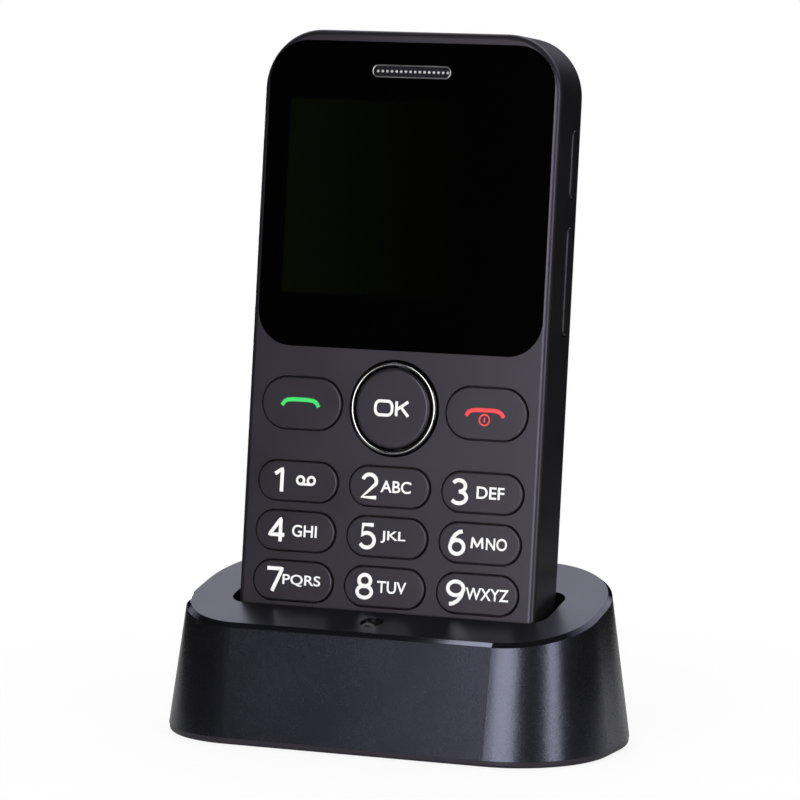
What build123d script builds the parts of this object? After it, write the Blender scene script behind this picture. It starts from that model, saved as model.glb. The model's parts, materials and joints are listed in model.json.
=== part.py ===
from build123d import *
import math
import os

# A bar phone standing in its charging cradle, in millimetres.
# X runs to the right, Y to the back, Z up; the origin is under the middle of the cradle.
# The phone is drawn upright in a frame of its own, and then leant back into the cradle:
# there X runs across it, Y is the depth behind its front face and Z the height over its bottom end.

# Phone body
phone_width = 57.4
phone_depth = 12.0
top_corner = 10.7
bottom_corner = 9.0
front_edge = 1.1
back_edge = 2.2
seam_depth = 5.1
face_wall = 1.7
side_wall = 1.4
back_wall = 1.2
wall_blend = 0.7
lip_wall = 0.65
lip_depth = 0.45

# Fits shared by all pieces
fit_gap = 0.05
slip_gap = 0.1
key_gap = 0.25
key_travel = 0.4

# Keys
key_side_margin = 2.8
key_web = 1.9
row_pitch = 8.95
last_row_height = 10.55
number_hole_height = 7.6
command_step = 14.0
command_hole_height = 9.75
key_proud = 0.5
key_round = 0.3
key_flange = 0.6
key_flange_margin = 0.55
plunger_radius = 1.5
nib_length = 2.5
nib_width = 0.6
nib_rise = 0.15
nib_step = 2.85
ring_gap = 0.35
ring_hole_radius = 8.7
ring_width = 0.85
ring_flange_margin = 0.4
ring_flange = 0.5
ring_stud = 0.7
ring_proud = 0.55
ring_tilt_gap = 0.35
ok_gap = 0.3
ok_proud = 1.0
ok_round = 0.6

# Display
window_step = 10.25
window_side_margin = 1.15
window_top_margin = 2.0
window_top_corner = 7.25
window_bottom_corner = 6.5
window_thickness = 0.95
active_side_margin = 5.25
active_height = 35.2
active_margin = 0.5
panel_side_margin = 1.45
panel_top_margin = 1.2
panel_ledge = 4.2
panel_thickness = 1.8
frame_wall = 0.7
display_gap = 2.6

# Earpiece
earpiece_top_margin = 7.15
earpiece_length = 15.0
earpiece_opening = 2.1
earpiece_holes = 16
earpiece_pitch = 0.9
earpiece_hole = 0.5
receiver_length = 15.0
receiver_width = 5.8
receiver_corner = 1.5

# Board stack, as depths behind the front face
board_front = 4.4
board_thickness = 1.0
board_inset = 0.4
dome_film = 0.1
dome_rise = 0.25
dome_radius = 2.5
mat_web = 0.4
mat_inset = 1.0
mat_margin = 1.0
mat_skirt = 1.0
mat_low_corner = 6.0
mat_high_corner = 2.0
shield_sheet = 0.25
shield_corner = 1.0
shield_rise = 1.9
low_shield_side_margin = 12.7
low_shield_bottom = 8.5
low_shield_gap = 6.1
high_shield_width = 16.0
high_shield_length = 13.0

# Side keys
side_key_depth = 7.6
side_key_width = 2.6
side_key_proud = 0.25
side_key_length = 12.6
side_key_from_top = 22.25
volume_key_length = 19.7
volume_key_from_top = 42.95
side_flange = 0.5
side_flange_margin = 0.6
side_flange_gap = 0.4
switch_size = 3.0
switch_height = 0.8
strip_thickness = 0.6

# Battery, its bay and its cover
battery_inset = 11.7
battery_length = 53.2
battery_thickness = 4.6
battery_corner = 1.5
battery_gap = 0.3
battery_end_margin = 1.9
battery_side_margin = 7.0
bay_wall = 1.0
bay_floor = 0.6
cover_from_top = 34.45
cover_corner = 4.0
cover_tab_length = 5.0
cover_tab_thickness = 0.8
cover_tab_inset = 0.6
cover_tab_share = 0.25
notch_length = 10.0
notch_height = 1.2
contact_width = 10.0
contact_length = 3.6
contact_front = 6.6
contact_back = 9.2
contact_recess = 0.3
contact_pitch = 3.0
blade_width = 1.0
sim_from_bay = 16.4
sim_width = 27.0
sim_length = 15.4
sim_rail = 1.6

# Screws that hold the two housings together
screw_side_margin = 6.8
low_screw_drop = 7.6
high_screw_rise = 10.1
screw_shank = 0.7
screw_head = 1.4
screw_head_height = 1.0
screw_boss = 1.9
screw_seat = 8.0

# Pieces in and on the back, measured from the top end
camera_from_top = 10.45
camera_barrel = 3.6
camera_base = 8.4
camera_base_height = 2.0
camera_corner = 0.8
camera_window = 3.2
camera_window_thickness = 0.8
lens_sink = 0.2
lens_ledge = 0.6
torch_offset = 9.0
torch_radius = 1.6
sos_from_top = 25.45
sos_radius = 5.0
sos_switch = 5.2
sos_switch_body = 1.5
sos_switch_button = 0.7
speaker_share = 0.27
speaker_from_top = 19.45
speaker_width = 11.0
speaker_length = 15.0
speaker_thickness = 2.6
speaker_corner = 1.5
speaker_slots = 5
speaker_slot_pitch = 1.9
speaker_slot_width = 0.9
speaker_slot_length = 8.0
motor_share = 0.2875
motor_from_top = 18.45
motor_radius = 4.0
motor_thickness = 2.7

# Sockets, pads, microphone and antenna at the bottom end
usb_width = 7.6
usb_height = 2.6
usb_length = 5.4
usb_wall = 0.35
usb_sink = 0.3
tongue_share = 0.7
pad_column = 9.0
pad_depth = 6.9
pad_width = 4.4
pad_height = 2.4
pad_thickness = 0.85
pad_recess = 0.15
pad_stem = 0.6
pad_tail = 1.2
microphone_share = 0.2787
microphone_height = 3.4
microphone_width = 2.4
microphone_thickness = 1.0
sound_hole = 0.5
antenna_width = 40.0
antenna_length = 9.0
antenna_gap = 2.0
antenna_corner = 2.0
antenna_cuts = 5
antenna_trace = 1.6
antenna_thickness = 0.5

# Where the phone stands in the cradle
lean = 7.454
seat_from_front = 12.63
seat_height = 8.51
pocket_side_gap = 1.9
pocket_gap = 0.85
pocket_corner = 3.5
pocket_guide_gap = 0.35
pocket_guide_depth_gap = 0.4
pocket_guide_corner = 0.8
pocket_guide_height = 6.0
pocket_wall = 1.6
pocket_floor = 1.4
rest_gap = 0.1

# Cradle
cradle_side_margin = 11.5
cradle_depth_margin = 33.33
cradle_front_corner = 17.0
cradle_back_corner = 21.7
side_draft = 6.7
front_draft = 11.3
back_draft = 7.7
top_slope = 13.32
top_centre_height = 25.68
top_bevel = 0.7
cradle_wall = 2.2
foot_height = 0.2
foot_radius = 4.0
foot_side_inset = 16.1
foot_end_inset = 7.665
foot_sink = 0.3
band_height = 1.2
band_inset = 0.12
band_round = 0.5
base_step = 1.0
cradle_screw_side_inset = 7.6
cradle_screw_end_inset = 13.665
cradle_post_radius = 2.6
cradle_screw_shank = 1.0
cradle_screw_head = 1.9
cradle_screw_head_height = 0.9
cradle_screw_length = 9.0

# Charging contacts, light and power in the cradle
cradle_board_gap = 0.5
cradle_board_thickness = 1.0
cradle_board_width = 48.0
cradle_board_front_inset = 6.165
cradle_board_back_inset = 3.665
standoff_radius = 2.2
standoff_inset = 4.5
sleeve_radius = 1.2
sleeve_bore = 0.83
sleeve_length = 3.1
sleeve_bottom_wall = 0.4
sleeve_top = -0.3
pin_radius = 0.75
pin_tip_radius = 0.45
pin_length = 2.05
pin_tip_gap = 0.1
light_from_front = 9.42
light_radius = 2.0
light_recess = 0.4
light_lens_depth = 4.5
light_stem = 1.1
light_stem_offset = 0.8
inlet_width = 8.9
inlet_height = 3.2
inlet_length = 6.6
inlet_wall = 0.4
inlet_sink = 1.05

# Worked-out depths behind the phone's front face
glass_seat = window_thickness + fit_gap
lid_depth = phone_depth - back_wall
straight_depth = phone_depth - back_edge + wall_blend
board_back = board_front + board_thickness
flange_front = face_wall + fit_gap
flange_back = flange_front + key_flange
mat_front = flange_back + key_travel + slip_gap
mat_back = mat_front + mat_web
film_front = board_front - dome_film
dome_top = film_front - dome_rise
plunger_tip = dome_top - key_travel - fit_gap
panel_front = face_wall + fit_gap
panel_back = panel_front + panel_thickness
battery_back = lid_depth - fit_gap
battery_front = battery_back - battery_thickness
bay_floor_back = battery_front - fit_gap
bay_floor_front = bay_floor_back - bay_floor
lens_front = phone_depth - lens_sink - camera_window_thickness
sos_switch_mid = board_back + sos_switch_body
sos_switch_back = sos_switch_mid + sos_switch_button
microphone_front = board_front - microphone_thickness

# Worked-out places across the phone
inner_half_width = phone_width / 2 - side_wall
key_hole_width = (phone_width - 2 * key_side_margin - 2 * key_web) / 3
column_pitch = key_hole_width + key_web
columns = [-column_pitch, 0.0, column_pitch]
window_width = phone_width - 2 * window_side_margin
active_width = phone_width - 2 * active_side_margin
panel_width = active_width + 2 * panel_side_margin
screw_column = phone_width / 2 - screw_side_margin
ring_outer_radius = ring_hole_radius - ring_gap
ring_inner_radius = ring_outer_radius - ring_width
ring_flange_radius = ring_hole_radius + ring_flange_margin
ring_stud_reach = (ring_inner_radius + ring_flange_radius) / 2
ok_radius = ring_inner_radius - ok_gap
battery_width = phone_width - 2 * battery_inset
cover_width = battery_width + 2 * battery_side_margin
bay_width = battery_width + 2 * battery_gap
low_shield_width = phone_width - 2 * low_shield_side_margin
speaker_column = -speaker_share * phone_width
motor_column = motor_share * phone_width
microphone_column = microphone_share * phone_width

# Worked-out heights up the phone, from the keypad to the top end
number_rows = [last_row_height + row_pitch * row for row in (3, 2, 1, 0)]
first_row_height = number_rows[0]
command_row_height = first_row_height + command_step
mat_bottom = number_rows[-1] - row_pitch / 2 - mat_margin
mat_top = command_row_height + ring_stud_reach + dome_radius + mat_skirt + key_gap
panel_bottom = mat_top + display_gap + frame_wall + fit_gap
panel_height = panel_ledge + active_height + panel_top_margin
panel_top = panel_bottom + panel_height
display_height = panel_bottom + panel_ledge + active_height / 2
earpiece_height = panel_top + frame_wall + fit_gap + key_gap + receiver_width / 2
phone_length = earpiece_height + earpiece_top_margin
window_bottom = command_row_height + window_step
window_height = phone_length - window_top_margin - window_bottom
screw_heights = (command_row_height - low_screw_drop, command_row_height + high_screw_rise)
side_key_height = phone_length - side_key_from_top
volume_key_height = phone_length - volume_key_from_top
camera_height = phone_length - camera_from_top
sos_height = phone_length - sos_from_top
speaker_height = phone_length - speaker_from_top
motor_height = phone_length - motor_from_top
cover_length = battery_length + 2 * battery_end_margin
cover_bottom = phone_length - cover_from_top - cover_length
cover_height = cover_bottom + cover_length / 2
bay_bottom = cover_bottom + battery_end_margin - battery_gap
bay_length = battery_length + 2 * battery_gap
bay_height = bay_bottom + bay_length / 2
sim_height = bay_bottom + sim_from_bay
low_shield_length = bay_bottom - bay_wall - low_shield_gap - low_shield_bottom
low_shield_height = low_shield_bottom + low_shield_length / 2
antenna_height = cover_bottom - back_wall - antenna_gap - antenna_length / 2
pad_top = pad_recess + pad_thickness

# Worked-out places in the cradle
pocket_half_width = phone_width / 2 + pocket_side_gap
cradle_width = 2 * (pocket_half_width + cradle_side_margin)
cradle_depth = phone_depth + cradle_depth_margin
seat_front = -cradle_depth / 2 + seat_from_front
loft_height = top_centre_height + cradle_depth / 4
shell_bottom = foot_height + band_height
base_top = shell_bottom + base_step
cradle_board_height = base_top + cradle_board_gap
board_top = cradle_board_height + cradle_board_thickness
cradle_board_front = -cradle_depth / 2 + cradle_board_front_inset
cradle_board_back = cradle_depth / 2 - cradle_board_back_inset
light_row = -cradle_depth / 2 + light_from_front
light_top = top_centre_height + light_row * math.tan(math.radians(top_slope))
light_head_bottom = light_top - light_lens_depth
inlet_mouth = cradle_depth / 2 - inlet_sink


def slab(outline, front, back):
    """Extrude an outline drawn across the phone from one depth to another."""
    return Pos(0, front, 0) * extrude(Plane.XZ * outline, front - back)


def upright(outline, bottom, top):
    """Extrude an outline drawn in plan from one height to another."""
    return Pos(0, 0, bottom) * extrude(outline, top - bottom)


def rounded(width, height, bottom, low_corner, high_corner):
    """A rounded rectangle that stands on the given height."""
    outline = Pos(0, bottom + height / 2) * Rectangle(width, height)
    outline = fillet(outline.vertices().group_by(Axis.Y)[0], low_corner)
    return fillet(outline.vertices().group_by(Axis.Y)[-1], high_corner)


def body_outline(inset):
    """The phone's front view, drawn in by an inset."""
    return rounded(
        phone_width - 2 * inset,
        phone_length - 2 * inset,
        inset,
        bottom_corner - inset,
        top_corner - inset,
    )


def window_outline(gap):
    """The display window's front view, grown by a gap."""
    return rounded(
        window_width + 2 * gap,
        window_height + 2 * gap,
        window_bottom - gap,
        window_bottom_corner + gap,
        window_top_corner + gap,
    )


def earpiece_slot(margin):
    """The earpiece's slot, grown by a margin."""
    return Pos(0, earpiece_height) * SlotOverall(earpiece_length + 2 * margin, earpiece_opening + 2 * margin)


def key_outline(place, width, height, margin):
    """A full-round key at its place, grown by a margin."""
    return Pos(*place) * SlotOverall(width + 2 * margin, height + 2 * margin)


def screw_places():
    """Where the housing screws stand, as pairs across and up the phone."""
    return [(side * screw_column, height) for side in (-1, 1) for height in screw_heights]


number_keys = {
    name: (columns[index % 3], number_rows[index // 3])
    for index, name in enumerate(
        ["key_1", "key_2", "key_3", "key_4", "key_5", "key_6", "key_7", "key_8", "key_9"]
        + ["key_star", "key_0", "key_hash"]
    )
}
command_keys = {
    "call_key": (-column_pitch, command_row_height),
    "end_key": (column_pitch, command_row_height),
}
ring_place = (0.0, command_row_height)
side_keys = {
    "side_key": (side_key_height, side_key_length),
    "volume_rocker": (volume_key_height, volume_key_length),
}


def pad_places():
    """Where the charging contacts stand across the phone's bottom end."""
    return [(side * pad_column, pad_depth) for side in (-1, 1)]


def seam_lip(gap):
    """The tongue inside the seam that lines the two housings up, grown by a gap."""
    lip = slab(body_outline(side_wall - lip_wall - gap), seam_depth, seam_depth + lip_depth + gap)
    return lip - slab(body_outline(side_wall), seam_depth, seam_depth + lip_depth + gap)


def usb_opening():
    """The opening for the charging socket in the bottom end."""
    opening = Box(usb_width + 2 * key_gap, usb_height + 2 * key_gap, 4 * side_wall)
    return Pos(0, board_back + fit_gap + usb_height / 2, 0) * opening


# Front half of the phone
def make_front_housing():
    """The front shell, with its key holes, display recess, bosses and keypad wall."""
    shell = slab(body_outline(0), 0, seam_depth)
    shell = fillet(shell.edges().group_by(Axis.Y)[0], front_edge)
    shell -= slab(body_outline(side_wall), face_wall, seam_depth)
    shell -= slab(window_outline(fit_gap), 0, glass_seat)
    aperture = Rectangle(active_width + 2 * active_margin, active_height + 2 * active_margin)
    shell -= slab(Pos(0, display_height) * aperture, glass_seat, face_wall)
    shell -= slab(earpiece_slot(key_gap), glass_seat, face_wall)
    for place in number_keys.values():
        shell -= slab(key_outline(place, key_hole_width, number_hole_height, 0), 0, face_wall)
    for place in command_keys.values():
        shell -= slab(key_outline(place, key_hole_width, command_hole_height, 0), 0, face_wall)
    shell -= slab(Pos(*ring_place) * Circle(ring_hole_radius), 0, face_wall)
    for place in screw_places():
        shell += slab(Pos(*place) * Circle(screw_boss), face_wall, seam_depth)
        shell -= slab(Pos(*place) * Circle(screw_shank + fit_gap), face_wall + fit_gap, seam_depth)
    shell -= Pos(microphone_column, (face_wall + board_front) / 2, 0) * Cylinder(sound_hole, 4 * side_wall)
    return shell + seam_lip(0) - usb_opening()


def make_display_window():
    """The flush window over the display, pierced for the earpiece."""
    glass = slab(window_outline(0), 0, window_thickness)
    return glass - slab(earpiece_slot(0), 0, window_thickness)


def make_earpiece_grille():
    """The insert behind the window's slot, with its row of sound holes."""
    grille = slab(earpiece_slot(key_gap - fit_gap), glass_seat, face_wall)
    grille += slab(earpiece_slot(-2 * fit_gap), glass_seat - window_thickness / 2, glass_seat)
    start = -earpiece_pitch * (earpiece_holes - 1) / 2
    holes = [
        Pos(start + earpiece_pitch * step, earpiece_height) * Circle(earpiece_hole / 2)
        for step in range(earpiece_holes)
    ]
    return grille - slab(Sketch() + holes, 0, face_wall)


def make_earpiece_receiver():
    """The sound capsule behind the earpiece grille."""
    outline = Pos(0, earpiece_height) * RectangleRounded(receiver_length, receiver_width, receiver_corner)
    return slab(outline, panel_front, board_front - fit_gap)


def panel_outline(margin):
    """The display panel's front view, grown by a margin."""
    outline = Rectangle(panel_width + 2 * margin, panel_height + 2 * margin)
    return Pos(0, (panel_bottom + panel_top) / 2) * outline


def make_lcd_panel():
    """The display panel: a stepped glass sandwich with a ledge for its driver."""
    panel = slab(panel_outline(0), panel_front, panel_back)
    ledge = Pos(0, display_height - active_height / 2 - panel_height / 2 - active_margin) * Rectangle(
        panel_width, panel_height
    )
    return panel - slab(ledge, panel_front, panel_front + panel_thickness / 3)


def make_lcd_frame():
    """The tray that carries the display panel on the board."""
    tray = slab(panel_outline(frame_wall + fit_gap), panel_front, board_front - fit_gap)
    return tray - slab(panel_outline(fit_gap), panel_front, panel_back + fit_gap)


def mat_outline(inset):
    """The keypad mat's front view, drawn in by an inset."""
    return rounded(
        2 * (inner_half_width - mat_inset - inset),
        mat_top - mat_bottom - 2 * inset,
        mat_bottom + inset,
        mat_low_corner - inset,
        mat_high_corner - inset,
    )


def dome_places():
    """Where the key domes lie: one behind each key, and two behind the ring."""
    places = list(number_keys.values()) + list(command_keys.values()) + [ring_place]
    return places + ring_stud_places()


def ring_stud_places():
    """Where the ring's two studs press, above and below the OK key."""
    return [(ring_place[0], ring_place[1] + side * ring_stud_reach) for side in (-1, 1)]


def make_keypad_mat():
    """The rubber mat: a web with a hole for each plunger and a skirt that stands on the domes' film."""
    mat = slab(mat_outline(0), mat_front, film_front)
    mat -= slab(mat_outline(mat_skirt), mat_back, film_front)
    for place in dome_places():
        mat -= slab(Pos(*place) * Circle(plunger_radius + key_gap), mat_front, mat_back)
    for place in screw_places():
        mat -= slab(Pos(*place) * Circle(screw_boss + key_gap), mat_front, film_front)
    return mat


def make_dome_sheet():
    """The film with its snap domes, stuck on the board."""
    sheet = slab(mat_outline(0), film_front, board_front)
    for place in screw_places():
        sheet -= slab(Pos(*place) * Circle(screw_boss + key_gap), film_front, board_front)
    sphere_radius = (dome_radius**2 + dome_rise**2) / (2 * dome_rise)
    for across, up in dome_places():
        ball = Pos(across, dome_top + sphere_radius, up) * Sphere(sphere_radius)
        sheet += ball & slab(Pos(across, up) * Circle(dome_radius + fit_gap), dome_top, film_front)
    return sheet


def make_main_board():
    """The circuit board, pierced for the screw bosses."""
    board = slab(body_outline(side_wall + board_inset), board_front, board_back)
    for place in screw_places():
        board -= slab(Pos(*place) * Circle(screw_boss + slip_gap), board_front, board_back)
    return board


def make_board_shields():
    """The two shield cans on the board's back."""
    top = board_back + shield_rise
    cans = []
    for place, width, length in (
        (Pos(0, low_shield_height), low_shield_width, low_shield_length),
        (Pos(speaker_column, speaker_height), high_shield_width, high_shield_length),
    ):
        can = slab(place * RectangleRounded(width, length, shield_corner), board_back, top)
        hollow = place * Rectangle(width - 2 * shield_sheet, length - 2 * shield_sheet)
        cans.append(can - slab(hollow, board_back, top - shield_sheet))
    return Part() + cans


# Keys
def make_pill_key(place, width, height):
    """A key: rounded cap, flange behind the front face and plunger over its dome."""
    cap = slab(key_outline(place, width, height, -key_gap), -key_proud, flange_front)
    cap = fillet(cap.edges().group_by(Axis.Y)[0], key_round)
    cap += slab(key_outline(place, width, height, key_flange_margin - key_gap), flange_front, flange_back)
    return cap + slab(Pos(*place) * Circle(plunger_radius), flange_back, plunger_tip)


def make_nib(place):
    """The raised bar on the middle key that a finger finds."""
    bar = Pos(place[0], place[1] - nib_step) * SlotOverall(nib_length, nib_width)
    return slab(bar, -key_proud - nib_rise, -key_proud)


def make_nav_ring():
    """The ring round the OK key, with a flange and two studs; it rocks about a line across the phone."""
    flange_depth = face_wall + ring_tilt_gap
    ring = slab(Pos(*ring_place) * Circle(ring_outer_radius), -ring_proud, flange_depth)
    ring = fillet(ring.edges().group_by(Axis.Y)[0], key_round)
    ring += slab(Pos(*ring_place) * Circle(ring_flange_radius), flange_depth, flange_depth + ring_flange)
    ring -= slab(Pos(*ring_place) * Circle(ring_inner_radius), -ring_proud, flange_depth + ring_flange)
    for across, up in ring_stud_places():
        ring += slab(Pos(across, up) * Circle(ring_stud), flange_depth + ring_flange, plunger_tip)
    return ring


def make_ok_key():
    """The round OK key inside the ring."""
    cap = slab(Pos(*ring_place) * Circle(ok_radius), -ok_proud, flange_back)
    cap = fillet(cap.edges().group_by(Axis.Y)[0], ok_round)
    return cap + slab(Pos(*ring_place) * Circle(plunger_radius), flange_back, plunger_tip)


def side_slab(height, length, margin, inner, outer):
    """Extrude a side key's full-round outline across the phone's right side."""
    outline = Pos(side_key_depth, height) * SlotOverall(
        length + 2 * margin, side_key_width + 2 * margin, rotation=90
    )
    return Pos(inner, 0, 0) * extrude(Plane.YZ * outline, outer - inner)


def make_side_key(height, length):
    """A key in the phone's right side, with a flange inside the wall."""
    flange_outer = inner_half_width - side_flange_gap
    cap = side_slab(height, length, -key_gap, flange_outer, phone_width / 2 + side_key_proud)
    cap = fillet(cap.edges().group_by(Axis.X)[-1], key_round)
    flange_inner = flange_outer - side_flange
    return cap + side_slab(height, length, side_flange_margin - key_gap, flange_inner, flange_outer)


def make_side_switches():
    """The strip behind the side keys with its three switches."""
    face = inner_half_width - side_flange_gap - side_flange - key_travel - slip_gap
    strip_back = side_key_depth + side_key_width / 2
    strip_top = side_key_height + side_key_length / 2
    strip_bottom = volume_key_height - volume_key_length / 2
    outline = Pos((board_back + strip_back) / 2, (strip_bottom + strip_top) / 2) * Rectangle(
        strip_back - board_back, strip_top - strip_bottom
    )
    strip = Pos(face - switch_height - strip_thickness, 0, 0) * extrude(Plane.YZ * outline, strip_thickness)
    for height in (
        side_key_height,
        volume_key_height - volume_key_length / 3,
        volume_key_height + volume_key_length / 3,
    ):
        switch = Pos(side_key_depth, height) * RectangleRounded(switch_size, switch_size, switch_size / 5)
        strip += Pos(face - switch_height, 0, 0) * extrude(Plane.YZ * switch, switch_height)
    return strip


# Back half of the phone
def cover_outline(margin):
    """The battery cover's outline, grown by a margin."""
    return Pos(0, cover_height) * RectangleRounded(
        cover_width + 2 * margin, cover_length + 2 * margin, cover_corner + margin
    )


def bay_outline(margin):
    """The battery bay's outline, grown by a margin."""
    return Pos(0, bay_height) * Rectangle(bay_width + 2 * margin, bay_length + 2 * margin)


def tab_outlines(margin):
    """The outlines of the four tabs inside the battery cover."""
    across = cover_width / 2 - cover_tab_thickness - cover_tab_inset
    tabs = [
        Pos(side * across, cover_height + way * cover_length * cover_tab_share)
        * Rectangle(cover_tab_thickness + 2 * margin, cover_tab_length + 2 * margin)
        for side in (-1, 1)
        for way in (-1, 1)
    ]
    return Sketch() + tabs


def speaker_openings():
    """The slots over the loudspeaker."""
    middle = (speaker_slots - 1) / 2
    slots = [
        Pos(speaker_column, speaker_height + speaker_slot_pitch * (step - middle))
        * SlotOverall(speaker_slot_length, speaker_slot_width)
        for step in range(speaker_slots)
    ]
    return Sketch() + slots


def make_rear_housing():
    """The rear shell, with its battery bay, cover recess, screw posts and the openings in its walls."""
    shell = slab(body_outline(0), seam_depth, phone_depth)
    shell = fillet(shell.edges().group_by(Axis.Y)[-1], back_edge)
    cavity = slab(body_outline(side_wall), seam_depth, straight_depth)
    cavity += slab(body_outline(back_edge), straight_depth, lid_depth)
    cavity -= slab(cover_outline(back_wall), lid_depth - back_wall, lid_depth)
    cavity -= slab(bay_outline(bay_wall), bay_floor_front, lid_depth)
    for place in screw_places():
        cavity -= slab(Pos(*place) * Circle(screw_boss + key_gap), board_back + fit_gap, lid_depth)
    shell -= cavity
    shell -= slab(cover_outline(slip_gap), lid_depth, phone_depth)
    shell -= slab(bay_outline(0), bay_floor_back, lid_depth)
    card_opening = Pos(0, sim_height) * Rectangle(sim_width + 2 * key_gap, sim_length + 2 * key_gap)
    shell -= slab(card_opening, seam_depth, lid_depth)
    shell -= slab(tab_outlines(key_gap), lid_depth - back_wall, lid_depth)
    shell -= slab(contact_outline(key_gap), board_back, contact_back + key_gap)
    for place in screw_places():
        shell -= slab(Pos(*place) * Circle(screw_shank + slip_gap), seam_depth, lid_depth)
        shell -= slab(Pos(*place) * Circle(screw_head + slip_gap), screw_seat, lid_depth)
    for height, length in side_keys.values():
        shell -= side_slab(height, length, 0, inner_half_width - side_wall, phone_width / 2 + side_wall)
    shell -= slab(Pos(0, camera_height) * Circle(camera_window + fit_gap), lens_front - fit_gap, phone_depth)
    shell -= slab(Pos(0, camera_height) * Circle(camera_window - lens_ledge), lid_depth, phone_depth)
    shell -= slab(Pos(torch_offset, camera_height) * Circle(torch_radius + fit_gap), lid_depth, phone_depth)
    shell -= slab(Pos(0, sos_height) * Circle(sos_radius + key_gap), lid_depth, phone_depth)
    shell -= slab(speaker_openings(), lid_depth, phone_depth)
    for place in pad_places():
        recess = Pos(*place) * Rectangle(pad_width + 2 * fit_gap, pad_height + 2 * fit_gap)
        shell -= upright(recess, 0, pad_top + fit_gap)
        shell -= upright(Pos(*place) * Circle(pad_stem + fit_gap), 0, side_wall)
    return shell - usb_opening() - seam_lip(fit_gap)


def make_battery_cover():
    """The lift-off cover, with four friction tabs and a nail notch at its top edge."""
    cover = slab(cover_outline(0), lid_depth + fit_gap, phone_depth)
    cover += slab(tab_outlines(0), lid_depth - back_wall + slip_gap, lid_depth + fit_gap)
    notch = Pos(0, cover_bottom + cover_length) * SlotOverall(notch_length, 2 * notch_height)
    return cover - slab(notch, phone_depth - back_wall / 2, phone_depth)


def make_battery():
    """The battery, with a recess for its three contacts."""
    cell = slab(
        Pos(0, bay_height) * RectangleRounded(battery_width, battery_length, battery_corner),
        battery_front,
        battery_back,
    )
    contact_window = Pos(0, bay_bottom + battery_gap) * Rectangle(contact_width, 2 * contact_recess)
    return cell - slab(contact_window, contact_front, contact_back)


def contact_outline(margin):
    """The battery connector's place below the bay, grown by a margin."""
    top = bay_bottom + battery_gap
    outline = Rectangle(contact_width + 2 * margin, contact_length + 2 * margin)
    return Pos(0, top - contact_length / 2) * outline


def make_battery_contacts():
    """The battery connector: a block on the board with three sprung blades."""
    top = bay_bottom + battery_gap
    block_height = contact_length - battery_gap - bay_wall
    block = slab(
        Pos(0, top - contact_length + block_height / 2) * Rectangle(contact_width, block_height),
        board_back,
        contact_back,
    )
    blade_depth = (contact_front + contact_back) / 2
    reach = contact_recess - fit_gap
    blade_length = contact_length + reach - fit_gap
    for across in (-contact_pitch, 0, contact_pitch):
        blade = Pos(across, top + reach - blade_length / 2) * Rectangle(blade_width, blade_length)
        block += slab(blade, blade_depth - blade_width / 2, blade_depth + blade_width / 2)
    return block


def make_sim_socket():
    """The card socket on the board, seen through the bay's floor when the battery is out."""
    frame = Rectangle(sim_width, sim_length)
    frame -= RectangleRounded(sim_width - 2 * sim_rail, sim_length - 2 * sim_rail, sim_rail / 2)
    return slab(Pos(0, sim_height) * frame, board_back, bay_floor_back)


def make_loudspeaker():
    """The loudspeaker behind its slots."""
    case = slab(
        Pos(speaker_column, speaker_height) * RectangleRounded(speaker_width, speaker_length, speaker_corner),
        lid_depth - fit_gap - speaker_thickness,
        lid_depth - fit_gap,
    )
    cone = Pos(speaker_column, speaker_height) * SlotOverall(
        speaker_length - 2 * speaker_corner, speaker_width - 2 * speaker_corner, rotation=90
    )
    return case - slab(cone, lid_depth - speaker_thickness / 3, lid_depth)


def make_camera_module():
    """The camera: a square base on the board and a round barrel."""
    place = Pos(0, camera_height)
    base_back = board_back + camera_base_height
    camera = slab(place * RectangleRounded(camera_base, camera_base, camera_corner), board_back, base_back)
    camera += slab(place * Circle(camera_barrel), base_back, lid_depth - slip_gap)
    return camera - slab(place * Circle(camera_barrel / 2), lid_depth - camera_base_height, lid_depth)


def make_camera_lens():
    """The window over the camera, on a ledge in the rear housing."""
    return slab(Pos(0, camera_height) * Circle(camera_window), lens_front, phone_depth - lens_sink)


def make_torch_lens():
    """The torch's lens, with its light source's block down to the board."""
    place = Pos(torch_offset, camera_height)
    block_back = lid_depth - slip_gap
    lens = slab(place * Circle(torch_radius), block_back, phone_depth - lens_sink)
    return lens + slab(place * Circle(torch_radius + lens_ledge), board_back, block_back)


def make_sos_key():
    """The round emergency key in the back, with a flange inside and a stem down to its switch."""
    place = Pos(0, sos_height)
    flange_outer = lid_depth - fit_gap
    flange_inner = flange_outer - key_flange
    cap = slab(place * Circle(sos_radius), flange_outer, phone_depth + key_proud)
    cap = fillet(cap.edges().group_by(Axis.Y)[-1], key_round)
    cap += slab(place * Circle(sos_radius + key_flange_margin), flange_inner, flange_outer)
    return cap + slab(place * Circle(plunger_radius), sos_switch_back + key_travel + slip_gap, flange_inner)


def make_sos_switch():
    """The switch on the board under the emergency key."""
    place = Pos(0, sos_height)
    case = place * RectangleRounded(sos_switch, sos_switch, camera_corner)
    switch = slab(case, board_back, sos_switch_mid)
    return switch + slab(place * Circle(plunger_radius), sos_switch_mid, sos_switch_back)


def make_vibration_motor():
    """The sealed coin motor on the board."""
    disc = Pos(motor_column, motor_height) * Circle(motor_radius)
    coin = slab(disc, board_back, board_back + motor_thickness)
    return fillet(coin.edges().group_by(Axis.Y)[-1], key_round)


def make_microphone():
    """The microphone on the board's front, beside its sound hole."""
    case = Pos(microphone_column, microphone_height) * Rectangle(microphone_width, microphone_width)
    return slab(case, microphone_front, board_front)


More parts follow.
